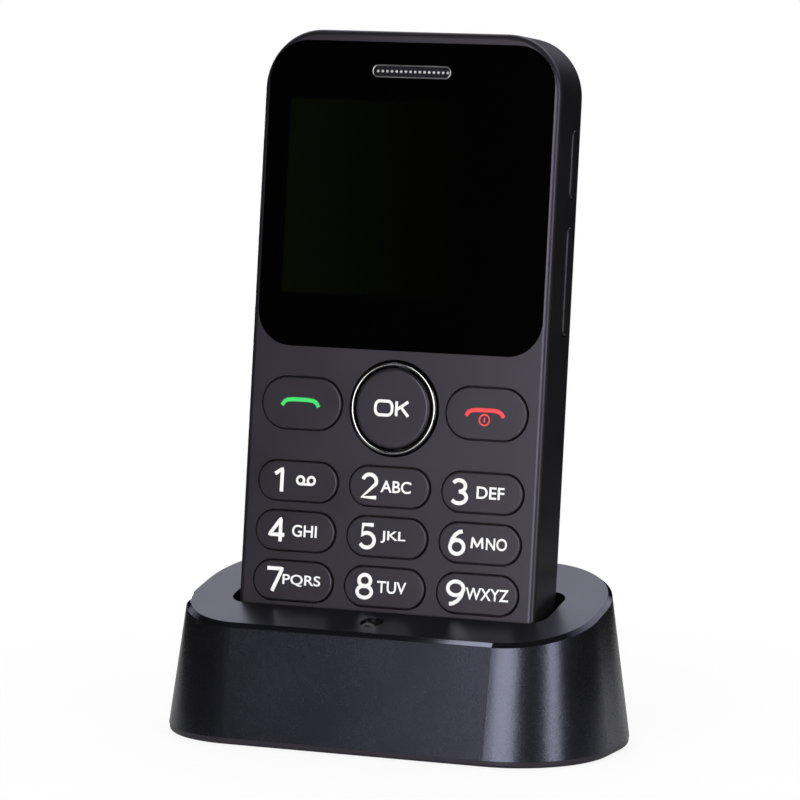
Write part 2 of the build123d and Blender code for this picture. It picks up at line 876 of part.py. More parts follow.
def make_antenna():
    """The antenna's sheet inside the back wall, cut into a meander."""
    sheet = Pos(0, antenna_height) * RectangleRounded(antenna_width, antenna_length, antenna_corner)
    for step in range(antenna_cuts):
        across = antenna_width * ((step + 1) / (antenna_cuts + 1) - 0.5)
        up = antenna_height + (antenna_trace if step % 2 else -antenna_trace)
        sheet -= Pos(across, up) * Rectangle(antenna_trace / 2, antenna_length)
    return slab(sheet, lid_depth - fit_gap - antenna_thickness, lid_depth - fit_gap)


def socket_shell(width, height, length, wall):
    """A power socket: an open metal mouth facing down, with a tongue, standing on its back end."""
    corner = height / 3
    mouth = RectangleRounded(width - 2 * wall, height - 2 * wall, corner - wall)
    shell = upright(RectangleRounded(width, height, corner), 0, length)
    shell -= upright(mouth, 0, length - 2 * wall)
    return shell + upright(Rectangle(width * tongue_share, height / 5), 2 * wall, length - wall)


def make_usb_socket():
    """The phone's own charging socket in its bottom end."""
    mouth = Pos(0, board_back + fit_gap + usb_height / 2, usb_sink)
    return mouth * socket_shell(usb_width, usb_height, usb_length, usb_wall)


def make_charging_pads():
    """The two contact pads in the bottom end that meet the cradle's pins."""
    pads = []
    for place in pad_places():
        pad = upright(Pos(*place) * Rectangle(pad_width, pad_height), pad_recess, pad_top)
        pads.append(pad + upright(Pos(*place) * Circle(pad_stem), pad_top, pad_top + pad_tail))
    return Part() + pads


def make_housing_screws():
    """The four screws that hold the two housings together."""
    screws = []
    for place in screw_places():
        screw = slab(Pos(*place) * Circle(screw_head), screw_seat + fit_gap, screw_seat + screw_head_height)
        screw += slab(Pos(*place) * Circle(screw_shank), face_wall + 2 * screw_shank, screw_seat + fit_gap)
        slot = Pos(*place) * Rectangle(2 * screw_head, screw_shank / 2)
        screws.append(screw - slab(slot, screw_seat + screw_head_height / 2, lid_depth))
    return Part() + screws


# Cradle
dock = Pos(0, seat_front, seat_height) * Rot(-lean, 0, 0)


def cradle_outline(height, inset):
    """The cradle's plan outline at a height, drawn in by an inset; its walls lean inwards."""
    sides_in = height * math.tan(math.radians(side_draft)) + inset
    front = -cradle_depth / 2 + height * math.tan(math.radians(front_draft)) + inset
    back = cradle_depth / 2 - height * math.tan(math.radians(back_draft)) - inset
    front_corner = min(cradle_front_corner - sides_in, (back - front) / 2 - slip_gap)
    back_corner = min(cradle_back_corner - sides_in, back - front - front_corner - slip_gap)
    return rounded(cradle_width - 2 * sides_in, back - front, front, front_corner, back_corner)


def above_top(drop):
    """The space above the cradle's sloping top, lowered by a drop."""
    space = Pos(0, 0, cradle_width / 2 - drop) * Box(2 * cradle_width, 2 * cradle_width, cradle_width)
    return Pos(0, 0, top_centre_height) * Rot(top_slope, 0, 0) * space


def cradle_body(inset):
    """The cradle's tapered body under its sloping top, drawn in by an inset."""
    sections = [Pos(0, 0, height) * cradle_outline(height, inset) for height in (shell_bottom, loft_height)]
    return loft(sections, ruled=True) - above_top(inset)


def pocket_outline(side_gap, depth_gap, corner, margin):
    """The pocket's outline across the phone: the phone's own, grown by its gaps and a margin."""
    width = phone_width + 2 * (side_gap + margin)
    depth = phone_depth + 2 * (depth_gap + margin)
    return Pos(0, phone_depth / 2) * RectangleRounded(width, depth, corner + margin)


def cradle_screw_places():
    """Where the cradle's screws stand in plan."""
    across = cradle_width / 2 - cradle_screw_side_inset
    along = cradle_depth / 2 - cradle_screw_end_inset
    return [(side * across, way * along) for side in (-1, 1) for way in (-1, 1)]


def make_cradle_shell():
    """The tapered shell with its bevelled top, leaning pocket, screw posts and openings."""
    body = cradle_body(0)
    body = chamfer(body.faces().sort_by(Axis.Z)[-1].edges(), top_bevel)
    shell = body - cradle_body(cradle_wall)
    tub = pocket_outline(pocket_side_gap, pocket_gap, pocket_corner, pocket_wall)
    shell += dock * upright(tub, -rest_gap - pocket_floor, loft_height) & body
    for place in cradle_screw_places():
        shell += upright(Pos(*place) * Circle(cradle_post_radius), base_top + fit_gap, loft_height) & body
        pilot_top = foot_height + cradle_screw_head_height + cradle_screw_length
        shell -= upright(Pos(*place) * Circle(cradle_screw_shank + fit_gap), base_top, pilot_top)
    wide = pocket_outline(pocket_side_gap, pocket_gap, pocket_corner, 0)
    snug = pocket_outline(pocket_guide_gap, pocket_guide_depth_gap, pocket_guide_corner, 0)
    shell -= dock * upright(wide, pocket_guide_height, loft_height)
    shell -= dock * upright(snug, -rest_gap, pocket_guide_height)
    for place in pad_places():
        hole = upright(Pos(*place) * Circle(sleeve_radius + slip_gap), -rest_gap - 2 * pocket_floor, 0)
        shell -= dock * hole
    shell -= upright(Pos(0, light_row) * Circle(light_radius + slip_gap), light_head_bottom, loft_height)
    opening = Pos(0, cradle_depth / 2, board_top + fit_gap + inlet_height / 2) * Box(
        inlet_width + 2 * key_gap, 4 * cradle_wall, inlet_height + 2 * key_gap
    )
    return shell - opening


def make_cradle_base():
    """The bottom plate: a thin band at the floor, a step inside the shell and stand-offs for the board."""
    plate = upright(cradle_outline(shell_bottom, band_inset), foot_height, shell_bottom)
    plate = fillet(plate.edges().group_by(Axis.Z)[0], band_round)
    plate += upright(cradle_outline(base_top, cradle_wall + slip_gap), shell_bottom, base_top)
    for place in standoff_places():
        plate += upright(Pos(*place) * Circle(standoff_radius), base_top, cradle_board_height)
    for place in foot_places():
        plate -= upright(Pos(*place) * Circle(foot_radius + fit_gap), foot_height, foot_height + foot_sink)
    for place in cradle_screw_places():
        seat = foot_height + cradle_screw_head_height + slip_gap
        plate -= upright(Pos(*place) * Circle(cradle_screw_head + slip_gap), foot_height, seat)
        plate -= upright(Pos(*place) * Circle(cradle_screw_shank + slip_gap), foot_height, base_top)
    return plate


def foot_places():
    """Where the feet stand in plan."""
    across = cradle_width / 2 - foot_side_inset
    along = cradle_depth / 2 - foot_end_inset
    return [(side * across, way * along) for side in (-1, 1) for way in (-1, 1)]


def standoff_places():
    """Where the stand-offs carry the cradle's board."""
    across = cradle_board_width / 2 - standoff_inset
    rows = (cradle_board_front + standoff_inset, cradle_board_back - standoff_inset)
    return [(side * across, along) for side in (-1, 1) for along in rows]


def make_cradle_feet():
    """The four rubber feet, let into the bottom plate."""
    feet = []
    for place in foot_places():
        foot = upright(Pos(*place) * Circle(foot_radius), 0, foot_height + foot_sink)
        feet.append(chamfer(foot.edges().group_by(Axis.Z)[0], foot_height / 3))
    return Part() + feet


def make_cradle_screws():
    """The four screws that hold the bottom plate to the shell."""
    screws = []
    for place in cradle_screw_places():
        head_bottom = foot_height + slip_gap
        head_top = head_bottom + cradle_screw_head_height
        screw = upright(Pos(*place) * Circle(cradle_screw_head), head_bottom, head_top)
        tip = head_bottom + cradle_screw_length
        screw += upright(Pos(*place) * Circle(cradle_screw_shank), head_top, tip)
        for turn in (0, 90):
            slot = Pos(*place) * Rectangle(2 * cradle_screw_shank, cradle_screw_shank / 2, rotation=turn)
            screw -= upright(slot, head_bottom, head_bottom + cradle_screw_head_height / 2)
        screws.append(screw)
    return Part() + screws


def make_cradle_board():
    """The cradle's circuit board on the stand-offs."""
    length = cradle_board_back - cradle_board_front
    middle = (cradle_board_back + cradle_board_front) / 2
    return upright(Pos(0, middle) * Rectangle(cradle_board_width, length), cradle_board_height, board_top)


def make_contact_sleeves():
    """The two sleeves under the pads that guide the contact pins."""
    bottom = sleeve_top - sleeve_length
    sleeves = []
    for place in pad_places():
        sleeve = upright(Pos(*place) * Circle(sleeve_radius), bottom, sleeve_top)
        bore = upright(Pos(*place) * Circle(sleeve_bore), bottom + sleeve_bottom_wall, sleeve_top)
        sleeves.append(sleeve - bore)
    return Part() + sleeves


def make_contact_pin(place):
    """A contact pin with a blunt tip under its pad."""
    tip = pad_recess - pin_tip_gap
    pin = upright(Pos(*place) * Circle(pin_radius), tip - pin_length, tip)
    return chamfer(pin.edges().group_by(Axis.Z)[-1], pin_radius - pin_tip_radius)


def make_light_pipe():
    """The light pipe: a lens in the cradle's top on a stem from the board."""
    lens = upright(Pos(0, light_row) * Circle(light_radius), light_head_bottom, loft_height)
    lens -= above_top(light_recess)
    stem = Pos(0, light_row - light_stem_offset) * Circle(light_stem)
    return lens + upright(stem, board_top + slip_gap, light_head_bottom + light_stem)


def make_dock_socket():
    """The power socket at the cradle's back."""
    mouth = Pos(0, inlet_mouth, board_top + fit_gap + inlet_height / 2) * Rot(90, 0, 0)
    return mouth * socket_shell(inlet_width, inlet_height, inlet_length, inlet_wall)


# All pieces by name: those that lean with the phone, and those that stand with the cradle
leaning_pieces = {
    "front_housing": make_front_housing(),
    "display_window": make_display_window(),
    "earpiece_grille": make_earpiece_grille(),
    "earpiece_receiver": make_earpiece_receiver(),
    "lcd_panel": make_lcd_panel(),
    "lcd_frame": make_lcd_frame(),
    "keypad_mat": make_keypad_mat(),
    "dome_sheet": make_dome_sheet(),
    "main_board": make_main_board(),
    "board_shields": make_board_shields(),
    "nav_ring": make_nav_ring(),
    "ok_key": make_ok_key(),
    "side_switches": make_side_switches(),
    "rear_housing": make_rear_housing(),
    "battery_cover": make_battery_cover(),
    "battery": make_battery(),
    "battery_contacts": make_battery_contacts(),
    "sim_socket": make_sim_socket(),
    "loudspeaker": make_loudspeaker(),
    "camera_module": make_camera_module(),
    "camera_lens": make_camera_lens(),
    "torch_lens": make_torch_lens(),
    "sos_key": make_sos_key(),
    "sos_switch": make_sos_switch(),
    "vibration_motor": make_vibration_motor(),
    "microphone": make_microphone(),
    "antenna": make_antenna(),
    "usb_socket": make_usb_socket(),
    "charging_pads": make_charging_pads(),
    "housing_screws": make_housing_screws(),
    "contact_sleeves": make_contact_sleeves(),
    "contact_pin_left": make_contact_pin(pad_places()[0]),
    "contact_pin_right": make_contact_pin(pad_places()[1]),
}
for name, place in number_keys.items():
    leaning_pieces[name] = make_pill_key(place, key_hole_width, number_hole_height)
for name, place in command_keys.items():
    leaning_pieces[name] = make_pill_key(place, key_hole_width, command_hole_height)
for name, (height, length) in side_keys.items():
    leaning_pieces[name] = make_side_key(height, length)
leaning_pieces["key_5"] += make_nib(number_keys["key_5"])
upright_pieces = {
    "cradle_shell": make_cradle_shell(),
    "cradle_base": make_cradle_base(),
    "cradle_feet": make_cradle_feet(),
    "cradle_screws": make_cradle_screws(),
    "cradle_board": make_cradle_board(),
    "light_pipe": make_light_pipe(),
    "dock_socket": make_dock_socket(),
}

os.makedirs("parts", exist_ok=True)
for name, piece in leaning_pieces.items():
    export_step(dock * piece, f"parts/{name}.step")
for name, piece in upright_pieces.items():
    export_step(piece, f"parts/{name}.step")
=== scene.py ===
# %% [markdown]
# A bar phone in its charging cradle
# This lesson dresses a imported model: every solid of the phone and the cradle is already at its real
# size and place. The work here is the finish of each surface, the printing on the keys, the painted
# highlight line on the ring, the painted highlight rim and small bright studs of the earpiece, and a
# plain studio to see it all in.

# %% Load the frame
import json
import math

import bpy
from mathutils import Matrix, Vector


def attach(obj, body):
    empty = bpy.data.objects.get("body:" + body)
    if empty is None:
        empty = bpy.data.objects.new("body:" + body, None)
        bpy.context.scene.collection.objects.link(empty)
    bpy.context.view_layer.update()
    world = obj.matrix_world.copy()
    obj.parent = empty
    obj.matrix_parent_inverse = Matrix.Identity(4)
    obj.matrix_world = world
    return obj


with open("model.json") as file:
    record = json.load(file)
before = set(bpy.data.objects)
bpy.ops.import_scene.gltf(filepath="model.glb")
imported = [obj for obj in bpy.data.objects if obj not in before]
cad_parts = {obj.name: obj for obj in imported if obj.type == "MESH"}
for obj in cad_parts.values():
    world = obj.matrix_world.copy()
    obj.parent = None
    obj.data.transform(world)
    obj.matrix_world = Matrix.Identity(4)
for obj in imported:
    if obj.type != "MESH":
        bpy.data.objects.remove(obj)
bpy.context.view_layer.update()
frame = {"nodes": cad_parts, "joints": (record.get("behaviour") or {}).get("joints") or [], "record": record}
nodes = frame["nodes"]
MM = 0.001

# %% [markdown]
# The phone's own frame
# The phone leans back in the cradle, and the printing lies on its sloping face. The lean and the seat
# could be typed in again, but the joints already hold them: the direction in which the phone is lifted
# is the way up its face, and the ring's hinge, whose depth and height on the face are known, fixes where
# the face stands.

# %% Work out the phone's frame from the joints
joints = {joint["name"]: joint for joint in frame["joints"]}
up_face = Vector(joints["phone_lift"]["axis"]).normalized()
across = Vector((1, 0, 0))
into_face = up_face.cross(across)
ring_hinge = Vector(joints["nav_ring_tilt"]["pos_m"])
hinge_depth = 2.05 * MM
ring_height = 51.4 * MM
phone_origin = ring_hinge - into_face * hinge_depth - up_face * ring_height
phone_frame = Matrix((across, into_face, up_face)).transposed().to_4x4()
phone_frame.translation = phone_origin
lean = math.degrees(math.asin(up_face.y))
print("the phone leans back by", round(lean, 2), "degrees")

# %% [markdown]
# The camera
# The photograph was taken with a long lens, a little from the right and just above. The camera's place
# and its field of view come from fitting the known sizes of the keys, display and cradle.

# %% Place the camera
camera_azimuth = math.radians(23.666)
camera_elevation = math.radians(7.578)
camera_distance = 890.2 * MM
camera_target = Vector((0.34, -1.545, 60.80)) * MM
camera_data = bpy.data.cameras.new("camera")
camera_data.lens = 225
camera_data.sensor_width = 36
camera_data.clip_start = 0.01
camera = bpy.data.objects.new("camera", camera_data)
bpy.context.scene.collection.objects.link(camera)
toward_camera = Vector((
    math.sin(camera_azimuth) * math.cos(camera_elevation),
    -math.cos(camera_azimuth) * math.cos(camera_elevation),
    math.sin(camera_elevation),
))
camera.location = camera_target + toward_camera * camera_distance
camera.rotation_euler = toward_camera.to_track_quat("Z", "Y").to_euler()
bpy.context.scene.camera = camera
print("camera at", [round(value, 4) for value in camera.location])

# %% [markdown]
# Shader sums as plain sums
# Finishes here are worked out from a point's place on the object. Wrapping a socket in a small class
# lets such a sum be written as ordinary arithmetic; each operator adds one Math node.


# %% A socket that does arithmetic
def plug(tree, socket, value):
    """Link a value to a socket, or set the socket to a plain number or colour."""
    if isinstance(value, Value):
        tree.links.new(value.socket, socket)
    else:
        socket.default_value = value


class Value:
    def __init__(self, tree, socket):
        self.tree = tree
        self.socket = socket

    def math(self, operation, *terms):
        node = self.tree.nodes.new("ShaderNodeMath")
        node.operation = operation
        for socket, term in zip(node.inputs, terms):
            plug(self.tree, socket, term)
        return Value(self.tree, node.outputs[0])

    def __add__(self, other):
        return self.math("ADD", self, other)

    def __sub__(self, other):
        return self.math("SUBTRACT", self, other)

    def __rsub__(self, other):
        return self.math("SUBTRACT", other, self)

    def __mul__(self, other):
        return self.math("MULTIPLY", self, other)

    def __truediv__(self, other):
        return self.math("DIVIDE", self, other)

    __radd__ = __add__
    __rmul__ = __mul__

    def size(self):
        return self.math("ABSOLUTE", self)

    def clamped(self):
        return self.math("MAXIMUM", self.math("MINIMUM", self, 1.0), 0.0)


print("sockets can be added, multiplied and clamped")

# %% [markdown]
# A finish
# A finish is one material with the few steps that all of them share: asking for a point's place on the
# object, soft noise, a blend of two colours and a bump. Every node other than a Math node is made by one
# method, which sets the node up and fills its sockets. Two sockets of one name, such as the two shaders
# of a mix, are told apart by Blender's own identifier.


# %% A finish that makes nodes
class Finish:
    def __init__(self, name):
        self.material = bpy.data.materials.new(name)
        self.material.use_nodes = True
        self.tree = self.material.node_tree
        self.shader = self.tree.nodes["Principled BSDF"]
        self.out = self.tree.nodes["Material Output"]

    def fill(self, node, sockets):
        """Link or set a node's sockets, given by name or by identifier."""
        for label, value in sockets.items():
            name = label.replace("_", " ")
            if name in node.inputs:
                socket = node.inputs[name]
            else:
                socket = next(socket for socket in node.inputs if socket.identifier == label)
            plug(self.tree, socket, value)

    def node(self, kind, settings, output, **sockets):
        """Make a node, set it up, fill its sockets, and give back one of its outputs."""
        node = self.tree.nodes.new(kind)
        for setting, value in settings.items():
            setattr(node, setting, value)
        self.fill(node, sockets)
        return Value(self.tree, node.outputs[output])

    def place(self):
        """The point's place on the object, in metres."""
        return self.node("ShaderNodeTexCoord", {}, "Object")

    def part(self, point, axis):
        """One of a place's three parts: X, Y or Z."""
        return self.node("ShaderNodeSeparateXYZ", {}, axis, Vector=point)

    def noise(self, point, size, detail=2.0):
        """Soft noise with features of about the given size in metres."""
        return self.node("ShaderNodeTexNoise", {}, 0, Vector=point, Scale=1 / size, Detail=detail)

    def feed(self, **sockets):
        """Link or set the surface shader's own sockets."""
        self.fill(self.shader, sockets)

    def bump(self, height, depth):
        """Let the surface rise and fall with a value, by a depth in metres."""
        normal = self.node("ShaderNodeBump", {}, "Normal", Height=height, Distance=depth, Strength=1.0)
        self.feed(Normal=normal)

    def blend(self, factor, low, high):
        """A colour between two others."""
        return self.node("ShaderNodeMix", {"data_type": "RGBA"}, 2, Factor=factor, A=low, B=high)


def grey(level, tint=0.0):
    """A grey, with its blue raised by a share."""
    return (level, level, level * (1 + tint), 1.0)


print("finishes can be made")

# %% [markdown]
# The studio
# The object stands on a white floor before a white backdrop. A dark satin plastic shows mostly what
# it mirrors, so the studio counts for more than the lamps' strength: a broad soft light in front, a
# narrow upright one at the right, a pale ceiling behind, and darkness in between. A faint strip left of
# the front light gives the cradle's flat front its slow gradient, a very small lamp high up makes the
# glint on the polished rim, and a low light behind shows the back. The top light would only lay a haze
# on the gloss, so mirrors don't see it.

# %% Six soft lights
aim = Vector((0, 0, 60)) * MM


def soft_light(name, azimuth, elevation, distance, width, height, watts):
    """A rectangular light aimed at the phone; its azimuth is counted from the front to the right."""
    turn, rise = math.radians(azimuth), math.radians(elevation)
    away = Vector((math.sin(turn) * math.cos(rise), -math.cos(turn) * math.cos(rise), math.sin(rise)))
    light = bpy.data.lights.new(name, "AREA")
    light.shape = "RECTANGLE"
    light.size = width
    light.size_y = height
    light.energy = watts
    lamp = bpy.data.objects.new(name, light)
    bpy.context.scene.collection.objects.link(lamp)
    lamp.location = aim + away * distance
    lamp.rotation_euler = away.to_track_quat("Z", "Y").to_euler()
    return lamp


light_sizes = {
    "front_light": dict(azimuth=3.2, elevation=12, distance=0.43, width=0.228, height=0.36, watts=1.5),
    "side_light": dict(azimuth=64, elevation=12, distance=0.44, width=0.115, height=0.36, watts=0.75),
    "top_light": dict(azimuth=180, elevation=80, distance=0.8, width=0.6, height=0.6, watts=5),
    "flank_light": dict(azimuth=-14, elevation=12, distance=0.43, width=0.036, height=0.36, watts=0.05),
    "rim_light": dict(azimuth=-52.0, elevation=62.7, distance=0.42, width=0.016, height=0.03, watts=0.0093),
    "back_light": dict(azimuth=211, elevation=1, distance=0.5, width=0.28, height=0.13, watts=1.4),
}
lamps = {name: soft_light(name, **sizes) for name, sizes in light_sizes.items()}
lamps["top_light"].visible_glossy = False
print("soft lights of", [round(lamp.data.energy, 4) for lamp in lamps.values()], "watts")

# %% [markdown]
# What the surfaces mirror
# The world is plain white to the camera. Seen in a mirror it is pale, with a trace of violet, only high
# up behind the object, where a studio has its ceiling and backdrop. It is dark low down and in front,
# where the camera stands in an unlit room. Soft light from all round comes at one low, even level.

# %% The world
world = bpy.data.worlds.new("studio")
bpy.context.scene.world = world
world.use_nodes = True


class Sky(Finish):
    """The world's own nodes, made in the same way as a finish."""

    def __init__(self, tree):
        self.tree = tree
        self.shader = tree.nodes["Background"]


sky = Sky(world.node_tree)
ray = sky.node("ShaderNodeTexCoord", {}, "Generated")
ray_back, ray_up = sky.part(ray, "Y"), sky.part(ray, "Z")
ceiling_start, ceiling_blend = 0.3, 0.15
backdrop_start, backdrop_blend = 0.15, 0.4
high_up = ((ray_up - ceiling_start) / ceiling_blend).clamped()
behind = ((ray_back - backdrop_start) / backdrop_blend).clamped()
to_camera = sky.node("ShaderNodeLightPath", {}, "Is Camera Ray")
to_glass = sky.node("ShaderNodeLightPath", {}, "Is Transmission Ray")
in_mirror = sky.node("ShaderNodeLightPath", {}, "Is Glossy Ray")
even_level = 0.12
ceiling_level = 1.3
level = (1 - in_mirror) * even_level + in_mirror * (high_up * behind) * ceiling_level
plain_white = (to_camera + to_glass).clamped()
pale_violet = (1.02, 1.0, 1.12, 1)
sky.feed(
    Strength=plain_white + (1 - plain_white) * level,
    Color=sky.blend(plain_white, pale_violet, grey(1.0)),
)
bpy.context.scene.view_settings.view_transform = "Standard"
print("world ready, even level", even_level)

# %% [markdown]
# The floor
# A white sheet under the object. To the camera it is white by itself, with a share of the light that
# really falls on it mixed in, so that the soft shadow under the cradle stays. Towards its rim that
# share fades out, and the sheet melts into the white behind it. In a mirror the sheet is greyer, so that
# the cradle's foot doesn't glow.

# %% The floor sheet
bpy.ops.object.select_all(action="DESELECT")
floor_radius = 0.17
bpy.ops.mesh.primitive_circle_add(vertices=96, radius=floor_radius, fill_type="NGON")
floor = bpy.context.object
floor.name = "floor_sheet"
paper = Finish("white_paper")
spot = paper.place()
off_centre = paper.node("ShaderNodeVectorMath", {"operation": "LENGTH"}, "Value", Vector=spot)
shade_start, shade_fade, shade_most = 0.05, 0.08, 0.13
shade_share = (1 - (off_centre - shade_start) / shade_fade).clamped() * shade_most
seen = paper.node("ShaderNodeLightPath", {}, "Is Camera Ray")
bare = paper.node("ShaderNodeEmission", {}, 0, Color=grey(1.0), Strength=1.0)
mirrored = paper.node("ShaderNodeLightPath", {}, "Is Glossy Ray")
paper.feed(
    Base_Color=paper.blend(mirrored, grey(0.85), grey(0.50)),
    Roughness=0.9,
    Specular_IOR_Level=0.0,
)
lit = Value(paper.tree, paper.shader.outputs[0])
plainness = seen * (1 - shade_share)
sheet = paper.node("ShaderNodeMixShader", {}, 0, Fac=plainness, Shader=lit, Shader_001=bare)
paper.fill(paper.out, {"Surface": sheet})
floor.data.materials.append(paper.material)
print("floor of", floor_radius, "m radius")

# %% [markdown]
# The phone's plastic
# The housing and the keys are moulded in one charcoal colour, with the dry, satin skin that spark
# erosion leaves in a mould. A plain grey at one roughness would look like paint. Here fine grain
# bends the light a little, and a slow cloud of colour and gloss, as the melt leaves it, breaks the
# even tone. Its sheen has a trace of violet. The black inside of the phone hardly shines at all.

# %% Satin charcoal
violet_sheen = (0.87, 0.78, 1.0, 1)


def satin_plastic(name, shade, roughness, grain_size, grain_depth):
    """Moulded plastic with a fine spark-eroded skin."""
    skin = Finish(name)
    point = skin.place()
    cloud = skin.noise(point, 9 * MM)
    grain = skin.noise(point, grain_size, 3.0)
    skin.feed(
        Base_Color=skin.blend(cloud, grey(shade * 0.85, 0.1), grey(shade * 1.15, 0.12)),
        Roughness=(cloud - 0.5) * 0.10 + (grain - 0.5) * 0.12 + roughness,
        Specular_Tint=violet_sheen,
        Specular_IOR_Level=0.56,
    )
    skin.bump(grain, grain_depth)
    return skin


housing_skin = satin_plastic("housing_charcoal", 0.011, 0.36, 0.22 * MM, 0.004 * MM)
key_skin = satin_plastic("key_charcoal", 0.011, 0.35, 0.20 * MM, 0.003 * MM)
band_skin = satin_plastic("base_black", 0.012, 0.36, 0.25 * MM, 0.004 * MM)
black_skin = satin_plastic("inner_black", 0.010, 0.55, 0.30 * MM, 0.004 * MM)
black_skin.feed(Specular_IOR_Level=0.12)
print("four moulded plastics")

# %% [markdown]
# The display window
# One sheet of black-backed, hard-coated acrylic covers the display and the earpiece. Switched off, the
# display is a hardly visible greenish field behind it, which fades towards the right. Its place is
# worked out along the phone's face from the point on the surface, so it stays with the window when the
# phone is lifted.

# %% Gloss black with the sleeping display behind it
glass = Finish("window_black")
point = glass.place()
glass_x, glass_y, glass_z = (glass.part(point, axis) for axis in "XYZ")
up_glass = (glass_y - phone_origin.y) * up_face.y + (glass_z - phone_origin.z) * up_face.z
display_half_width = 23.45 * MM
display_half_height = 17.6 * MM
display_middle = 88.6 * MM
edge_blur = 0.4 * MM
inside_x = ((display_half_width - glass_x.size()) / edge_blur).clamped()
inside_z = ((display_half_height - (up_glass - display_middle).size()) / edge_blur).clamped()
fade_length = 34 * MM
fade = (1.0 - (glass_x + display_half_width) / fade_length).clamped()
streak = glass.noise(point, 14 * MM)
sleeping_display = (0.0022, 0.0030, 0.0010, 1)
glass.feed(
    Base_Color=glass.blend(inside_x * inside_z * fade, grey(0.0006), sleeping_display),
    Roughness=(streak - 0.5) * 0.02 + 0.05,
    Specular_IOR_Level=0.4,
)
print("window, with a display field of", round(2000 * display_half_width, 1), "mm width")

# %% [markdown]
# The cradle's three zones
# The cradle's flanks and top are finely textured, the top a little duller, and the bevelled rim between
# them is polished. All is one moulding, so one material holds it: the height of a point under the
# sloping top tells the zones apart.

# %% Textured flanks and top, polished rim
cradle_skin = Finish("cradle_black")
point = cradle_skin.place()
cradle_y, cradle_z = cradle_skin.part(point, "Y"), cradle_skin.part(point, "Z")
top_slope = math.tan(math.radians(13.32))
top_middle = 25.68 * MM
under_top = cradle_y * top_slope + top_middle - cradle_z
rim_depth = 0.6 * MM
flank = ((under_top - rim_depth) / (0.1 * MM)).clamped()
below_top = ((under_top - 0.02 * MM) / (0.06 * MM)).clamped()
rim_zone = below_top * (1 - flank)
top_roughness, rim_roughness, flank_roughness = 0.33, 0.05, 0.26
roughness = top_roughness
roughness += rim_zone * (rim_roughness - top_roughness) + flank * (flank_roughness - top_roughness)
cloud = cradle_skin.noise(point, 12 * MM)
grain = cradle_skin.noise(point, 0.30 * MM, 3.0)
cradle_skin.feed(
    Base_Color=cradle_skin.blend(cloud, grey(0.004, 0.3), grey(0.006, 0.3)),
    Roughness=(cloud - 0.5) * 0.06 + (grain - 0.5) * (1 - rim_zone) * 0.12 + roughness,
    Specular_Tint=(0.72, 0.75, 1.0, 1),
    Specular_IOR_Level=0.78,
)
cradle_skin.bump(grain * (1 - rim_zone), 0.010 * MM)
print("cradle finish, with a polished rim of", round(rim_depth / MM, 2), "mm")

# %% [markdown]
# Metals
# The ring round the OK key is dark plated and nearly black; a line of lighter chrome on its crest is a
# painted highlight, standing in for the light on the crest.
# Contacts are thin gold over nickel, the battery's can is drawn metal, and the shields, screws and
# sockets are tin-plated or zinc-plated steel with a rolled grain.

# %% Plated, gilt and tinned metal
def metal(name, low, high, roughness, grain_size):
    """Bare metal, with a fine cloud of tarnish and rubbing."""
    skin = Finish(name)
    point = skin.place()
    tarnish = skin.noise(point, 2.5 * MM, 3.0)
    grain = skin.noise(point, grain_size, 2.0)
    skin.feed(
        Base_Color=skin.blend(tarnish, low, high),
        Roughness=(tarnish - 0.5) * 0.10 + (grain - 0.5) * 0.08 + roughness,
        Metallic=1.0,
    )
    skin.bump(grain, 0.001 * MM)
    return skin


ring_plating = metal("dark_plating", grey(0.05), grey(0.09), 0.14, 0.10 * MM)
# The crest's lighter chrome is a painted highlight, standing in for the light on the ring's crest.
painted_crest_highlight = metal("painted_crest_highlight", grey(0.36, 0.04), grey(0.50, 0.04), 0.20, 0.10 * MM)
tinned_steel = metal("tinned_steel", grey(0.52), grey(0.66), 0.32, 0.12 * MM)
gilt = metal("gilt_contact", (0.72, 0.48, 0.16, 1), (0.86, 0.62, 0.25, 1), 0.24, 0.10 * MM)
cell_can = metal("cell_can", (0.50, 0.51, 0.53, 1), (0.62, 0.63, 0.65, 1), 0.38, 0.40 * MM)
print("five metals")

# %% [markdown]
# Rubber and board lacquer
# These are small or hidden. Each still has the skin of its own material: talc-dull rubber, and lacquer
# with the copper's tracks just showing. A cell pattern's edges make the tracks, as lines drawn by hand
# would not be seen.

# %% Rubber and lacquer
rubber = satin_plastic("dull_rubber", 0.016, 0.72, 0.35 * MM, 0.010 * MM)

lacquer = Finish("board_lacquer")
point = lacquer.place()
track_spacing = 2.2 * MM
to_edge = {"feature": "DISTANCE_TO_EDGE"}
tracks = lacquer.node("ShaderNodeTexVoronoi", to_edge, 0, Vector=point, Scale=1 / track_spacing)
copper = ((0.09 - tracks) / 0.03).clamped()
lacquer.feed(
    Base_Color=lacquer.blend(copper, (0.010, 0.075, 0.032, 1), (0.040, 0.150, 0.060, 1)),
    Roughness=copper * 0.08 + 0.30,
)
lacquer.bump(copper, 0.02 * MM)
print("lacquer with tracks", round(track_spacing / MM, 1), "mm apart")

# %% [markdown]
# Lenses and the display's glass
# The camera's window and the torch are smoked clear plastic with a hard coat. The cradle's light pipe is
# unlit, so it is nearly black and mirrors little. The display's own glass, behind the window, is a dark
# green-grey. Clear glass would need many more rays and would show nothing here, so all are dark solids.

# %% Three lenses
clear_lens = Finish("smoked_lens")
point = clear_lens.place()
haze = clear_lens.noise(point, 1.2 * MM)
clear_lens.feed(
    Base_Color=clear_lens.blend(haze, grey(0.010, 0.1), grey(0.022, 0.1)),
    Roughness=haze * 0.06 + 0.05,
    Coat_Weight=0.6,
)

unlit_lens = Finish("unlit_lens")
point = unlit_lens.place()
haze = unlit_lens.noise(point, 0.8 * MM)
unlit_lens.feed(
    Base_Color=unlit_lens.blend(haze, grey(0.003, 0.1), grey(0.006, 0.1)),
    Roughness=haze * 0.06 + 0.08,
    Specular_IOR_Level=0.15,
)

